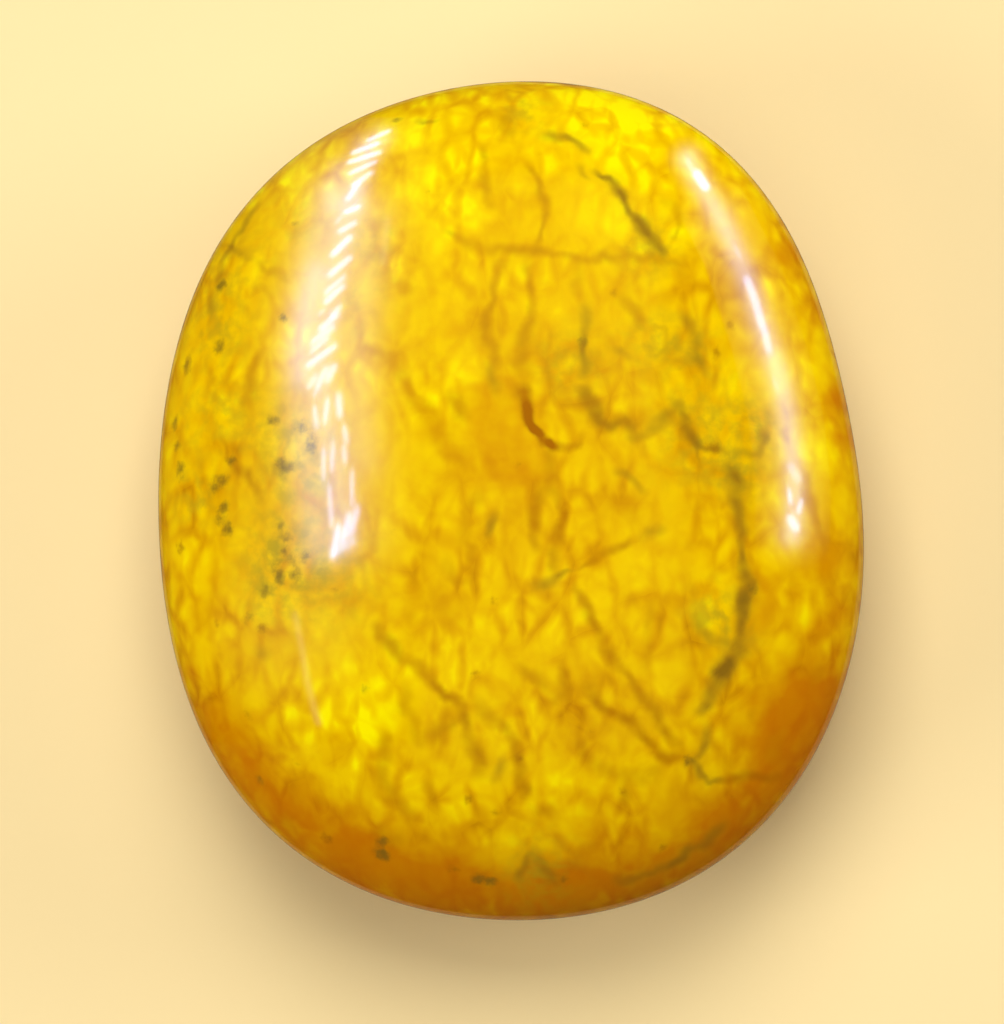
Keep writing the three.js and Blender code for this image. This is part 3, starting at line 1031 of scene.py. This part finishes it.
# %% [markdown]
# Two long reflections run down the stone's shoulders. The left one is hatched, and a pale veil lies
# round it. A lamp shows where the stone mirrors it, so the strips are placed backwards. A fine grid is
# laid over a piece of the picture, the camera's sight is bounced off the stone at each of its points,
# and the point is moved 220 mm along the bounce. The result is a curved light card. Its glow is painted
# on it in strokes, in the millimetres of the picture, and the stone mirrors them in place. The cards
# shine bluish, because their light adds to the stone's yellow and the two together look white.

# %% Light cards
CARD_DISTANCE_MM = 220
CARD_CELL_MM = 0.13
VEIL_EDGE = 2
STROKE_EDGE = 4
Stroke = namedtuple("Stroke", "radius glow points")


def mirrored(right_mm, up_mm):
    """The place that the stone mirrors into this place of the picture, or None beside the stone."""
    sight = (in_picture(right_mm, up_mm) - camera.location).normalized()
    place, _, face, _ = stone_tree.ray_cast(camera.location, sight)
    if place is None:
        return None
    corners = stone_mesh.polygons[face].vertices
    shares = poly_3d_calc([stone_mesh.vertices[corner].co for corner in corners], place)
    normal = Vector()
    for corner, weight in zip(corners, shares):
        normal += stone_mesh.vertices[corner].normal * weight
    return place + sight.reflect(normal.normalized()) * CARD_DISTANCE_MM * MM


def painted(places, strokes, edge):
    """The glow of strokes at places of the picture. A higher edge number gives them a crisper rim."""
    glow = np.zeros(len(places))
    for stroke in strokes:
        nearest = np.full(len(places), np.inf)
        for start, end in zip(stroke.points, stroke.points[1:]):
            step = np.subtract(end, start)
            share = np.clip((places - start) @ step / (step @ step), 0, 1)
            nearest = np.minimum(nearest, np.linalg.norm(places - start - share[:, None] * step, axis=1))
        glow += stroke.glow * np.exp(-((nearest / stroke.radius) ** edge))
    return glow


def only_mirrored(card):
    """Lets a card show in the gloss alone."""
    card.visible_camera = False
    card.visible_diffuse = False
    card.visible_shadow = False


def light_card(name, middle_line, half_width_mm, veils, strokes):
    """A card along a line of the picture, wide enough for the veils and strokes painted on it."""
    line = np.array(middle_line)
    length = line[0, 1] - line[-1, 1]
    bm = bmesh.new()
    bmesh.ops.create_grid(bm, x_segments=round(2 * half_width_mm / CARD_CELL_MM),
                          y_segments=round(length / CARD_CELL_MM), size=1)
    grid = np.array([vertex.co for vertex in bm.verts])
    up = line[-1, 1] + (grid[:, 1] + 1) / 2 * length
    right = np.interp(up, line[::-1, 1], line[::-1, 0]) + grid[:, 0] * half_width_mm
    places = np.stack([right, up], axis=1)
    glow = painted(places, veils, VEIL_EDGE) + painted(places, strokes, STROKE_EDGE)
    layer = bm.verts.layers.float.new("glow")
    missed = []
    for vertex, place, amount in zip(bm.verts, places, glow):
        vertex[layer] = amount
        spot = mirrored(*place)
        if spot is None:
            missed.append(vertex)
        else:
            vertex.co = spot
    bmesh.ops.delete(bm, geom=missed, context="VERTS")
    mesh = bpy.data.meshes.new(name)
    bm.to_mesh(mesh)
    bm.free()
    card = bpy.data.objects.new(name, mesh)
    bpy.context.scene.collection.objects.link(card)
    mesh.materials.append(cool_card)
    only_mirrored(card)
    print(name, "points:", len(mesh.vertices), "glow up to", round(float(glow.max()), 1))


def glowing(name, code):
    """A material that shines in one colour, as strongly as each point's stored glow says."""
    material = bpy.data.materials.new(name)
    material.use_nodes = True
    material.cycles.emission_sampling = "NONE"
    card_tree = material.node_tree
    card_tree.nodes.clear()
    glow_stored = add(card_tree, "ShaderNodeAttribute", attribute_name="glow")
    shine = add(card_tree, "ShaderNodeEmission",
                {"Color": colour(code), "Strength": glow_stored.outputs["Fac"]})
    add(card_tree, "ShaderNodeOutputMaterial", {"Surface": shine.outputs[0]})
    return material


COOL_LIGHT = "#a6c8ff"
CREAM_LIGHT = "#ffe2a8"
cool_card = glowing("cool_light_card", COOL_LIGHT)
cream_card = glowing("cream_light_card", CREAM_LIGHT)

# %% The left card
LEFT_HALF_WIDTH_MM = 7.8
LEFT_LINE = [
    (-11.6, 28.2), (-12.0, 25.0), (-12.6, 20.0), (-13.6, 14.0), (-14.0, 9.0), (-13.8, 3.0),
    (-13.6, -4.0), (-14.4, -10.0), (-14.2, -18.0),
]
LEFT_VEILS = [
    Stroke(4.6, 0.3, [(-11.5, 24.0), (-13.0, 15.0), (-14.0, 6.0), (-14.4, -2.0), (-15.6, -9.0)]),
    Stroke(1.5, 3.8, [
        (-13.0, 22.0), (-13.5, 20.0), (-14.2, 18.0), (-14.9, 14.5), (-15.4, 11.0), (-15.2, 7.5),
        (-14.9, 3.0), (-14.5, 0.0), (-14.1, -3.4),
    ]),
    Stroke(2.6, 2.0, [
        (-11.6, 20.5), (-12.0, 17.0), (-12.6, 13.0), (-12.8, 8.0), (-12.7, 2.0), (-12.5, -2.0),
    ]),
    Stroke(0.7, 4.0, [(-9.4, 26.7), (-10.5, 25.2), (-10.9, 23.6), (-11.4, 21.6)]),
    Stroke(1.5, 1.5, [(-10.7, 21.0), (-10.7, 17.0), (-11.1, 12.0), (-11.1, 6.0), (-10.9, 3.0)]),
    Stroke(0.8, 2.4, [(-12.6, 24.2), (-13.1, 23.0), (-12.9, 21.8)]),
    Stroke(1.0, 4.5, [(-14.2, 16.6), (-15.0, 14.0), (-15.4, 10.5), (-15.3, 9.2)]),
    Stroke(0.9, 4.0, [
        (-10.6, 25.8), (-11.4, 24.4), (-11.7, 22.0), (-12.2, 19.5), (-12.9, 16.0), (-13.5, 12.5),
        (-13.8, 9.0), (-13.4, 5.5), (-12.8, 2.0), (-12.3, -1.0), (-12.3, -3.3),
    ]),
    Stroke(0.22, 1.2, [(-15.8, -8.6), (-15.3, -11.0), (-14.9, -13.5), (-14.4, -15.5), (-14.1, -16.5)]),
    Stroke(0.25, 1.3, [(-9.0, 20.6), (-9.2, 19.0), (-9.3, 17.5)]),
]
LEFT_STROKES = [
    Stroke(0.16, 10, [(-8.9, 27.2), (-10.4, 26.5)]), Stroke(0.18, 11, [(-9.7, 26.3), (-11.5, 25.6)]),
    Stroke(0.18, 12, [(-9.6, 25.6), (-11.8, 24.9)]), Stroke(0.17, 11, [(-9.9, 24.9), (-11.7, 24.1)]),
    Stroke(0.19, 11, [(-10.2, 24.1), (-11.5, 23.2)]), Stroke(0.21, 12, [(-11.2, 23.2), (-11.9, 22.2)]),
    Stroke(0.19, 12, [(-11.1, 21.6), (-12.1, 21.2)]), Stroke(0.13, 7, [(-12.5, 20.8), (-12.7, 20.4)]),
    Stroke(0.19, 12, [(-11.4, 20.4), (-12.5, 19.8)]), Stroke(0.24, 15, [(-11.8, 19.3), (-13.0, 18.1)]),
    Stroke(0.22, 14, [(-11.8, 17.8), (-13.2, 16.6)]), Stroke(0.18, 12, [(-12.2, 16.4), (-13.5, 15.3)]),
    Stroke(0.21, 14, [(-12.3, 15.7), (-13.5, 14.6)]), Stroke(0.13, 8, [(-13.7, 13.9), (-14.0, 13.7)]),
    Stroke(0.19, 12, [(-12.5, 14.2), (-13.1, 13.6)]), Stroke(0.22, 14, [(-12.7, 13.6), (-13.9, 12.6)]),
    Stroke(0.21, 13, [(-13.0, 12.7), (-14.5, 11.6)]), Stroke(0.16, 12, [(-13.4, 11.9), (-14.6, 10.9)]),
    Stroke(0.22, 15, [(-12.9, 11.3), (-14.8, 9.9)]), Stroke(0.24, 14, [(-12.9, 9.8), (-13.4, 8.8)]),
    Stroke(0.19, 12, [(-13.5, 9.7), (-14.1, 8.4)]), Stroke(0.19, 10, [(-14.3, 9.0), (-14.8, 8.3)]),
    Stroke(0.16, 9, [(-14.1, 8.2), (-14.4, 7.7)]), Stroke(0.24, 15, [(-12.6, 7.6), (-12.5, 6.2)]),
    Stroke(0.16, 13, [(-13.4, 7.3), (-13.6, 5.7)]), Stroke(0.19, 12, [(-14.4, 6.7), (-14.2, 5.4)]),
    Stroke(0.19, 14, [(-12.2, 5.3), (-12.0, 4.3)]), Stroke(0.18, 14, [(-12.2, 3.8), (-12.1, 2.8)]),
    Stroke(0.15, 12, [(-13.0, 4.1), (-13.1, 2.2)]), Stroke(0.16, 12, [(-13.7, 3.6), (-13.7, 1.5)]),
    Stroke(0.16, 14, [(-11.6, 2.0), (-11.6, -0.3)]), Stroke(0.18, 12, [(-13.3, 0.9), (-13.1, -1.9)]),
    Stroke(0.22, 18, [(-11.2, -0.7), (-11.7, -2.6)]), Stroke(0.22, 18, [(-11.8, -1.2), (-12.3, -3.2)]),
    Stroke(0.22, 19, [(-12.6, -2.1), (-13.0, -4.2)]), Stroke(0.17, 16, [(-11.4, -3.1), (-13.1, -4.1)]),
]
light_card("left_card", LEFT_LINE, LEFT_HALF_WIDTH_MM, LEFT_VEILS, LEFT_STROKES)

# %% The right card
RIGHT_HALF_WIDTH_MM = 2.8
RIGHT_LINE = [
    (12.6, 27.2), (13.2, 25.4), (15.2, 21.4), (17.4, 17.0), (19.3, 11.0), (20.5, 6.0), (21.0, 1.0),
    (20.9, -5.5),
]
RIGHT_VEILS = [
    Stroke(0.75, 6.0, [
        (13.2, 25.1), (14.2, 23.2), (15.2, 21.5), (16.3, 19.4), (17.2, 17.2), (17.9, 15.4),
        (18.5, 13.4), (19.2, 11.3), (20.0, 9.0), (20.5, 6.5), (20.8, 4.0), (21.1, 1.5), (21.1, -1.0),
        (20.9, -2.7),
    ]),
    Stroke(1.7, 1.4, [
        (15.6, 20.5), (17.0, 17.0), (18.6, 12.4), (20.0, 8.0), (20.9, 2.0), (21.0, -2.0),
    ]),
]
RIGHT_STROKES = [
    Stroke(0.36, 16, [(13.9, 24.0), (14.5, 23.1)]), Stroke(0.22, 4, [(13.2, 25.0), (13.5, 24.4)]),
    Stroke(0.18, 4, [(16.7, 18.6), (17.1, 17.9)]),
    Stroke(0.32, 11, [(17.6, 16.2), (18.2, 14.6), (18.7, 12.8)]),
    Stroke(0.28, 10, [(18.9, 12.4), (19.2, 11.0)]), Stroke(0.18, 4, [(19.6, 8.8), (19.8, 8.2)]),
    Stroke(0.30, 6, [(20.8, 2.4), (21.4, 1.5)]), Stroke(0.18, 13, [(20.7, 0.6), (20.8, -0.2)]),
    Stroke(0.20, 13, [(21.6, -0.2), (21.4, -0.9)]), Stroke(0.34, 14, [(20.8, -1.5), (21.2, -2.1)]),
]
light_card("right_card", RIGHT_LINE, RIGHT_HALF_WIDTH_MM, RIGHT_VEILS, RIGHT_STROKES)

# %% [markdown]
# The last half millimetre of the rim mirrors whatever lies round the stone, at a grazing angle. The
# floor is left out of the gloss, and a rim that mirrors nothing gets a black line. So a narrow ring of
# dim cream lies on the floor round the stone, seen by the gloss alone.

# %% The rim card
RIM_CARD_WIDTH_MM = 11.0
RIM_CARD_HEIGHT_MM = 0.2
RIM_CARD_GLOW = 0.3
RIM_CARD_CELLS = (160, 4)

bm = bmesh.new()
bmesh.ops.create_grid(bm, x_segments=RIM_CARD_CELLS[0], y_segments=RIM_CARD_CELLS[1], size=1)
glow_layer = bm.verts.layers.float.new("glow")
for vertex in bm.verts:
    turn = vertex.co.x * math.pi
    reach_mm = float(outline_radius(np.array(turn))) + (vertex.co.y + 1) / 2 * RIM_CARD_WIDTH_MM
    vertex[glow_layer] = RIM_CARD_GLOW
    vertex.co = Vector((reach_mm * math.cos(turn), reach_mm * math.sin(turn), RIM_CARD_HEIGHT_MM)) * MM
rim_mesh = bpy.data.meshes.new("rim_card")
bm.to_mesh(rim_mesh)
bm.free()
rim_card = bpy.data.objects.new("rim_card", rim_mesh)
bpy.context.scene.collection.objects.link(rim_card)
rim_mesh.materials.append(cream_card)
only_mirrored(rim_card)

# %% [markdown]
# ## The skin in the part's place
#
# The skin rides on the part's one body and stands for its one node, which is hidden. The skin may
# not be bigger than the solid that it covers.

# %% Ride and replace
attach(stone, "root")
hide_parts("stone")
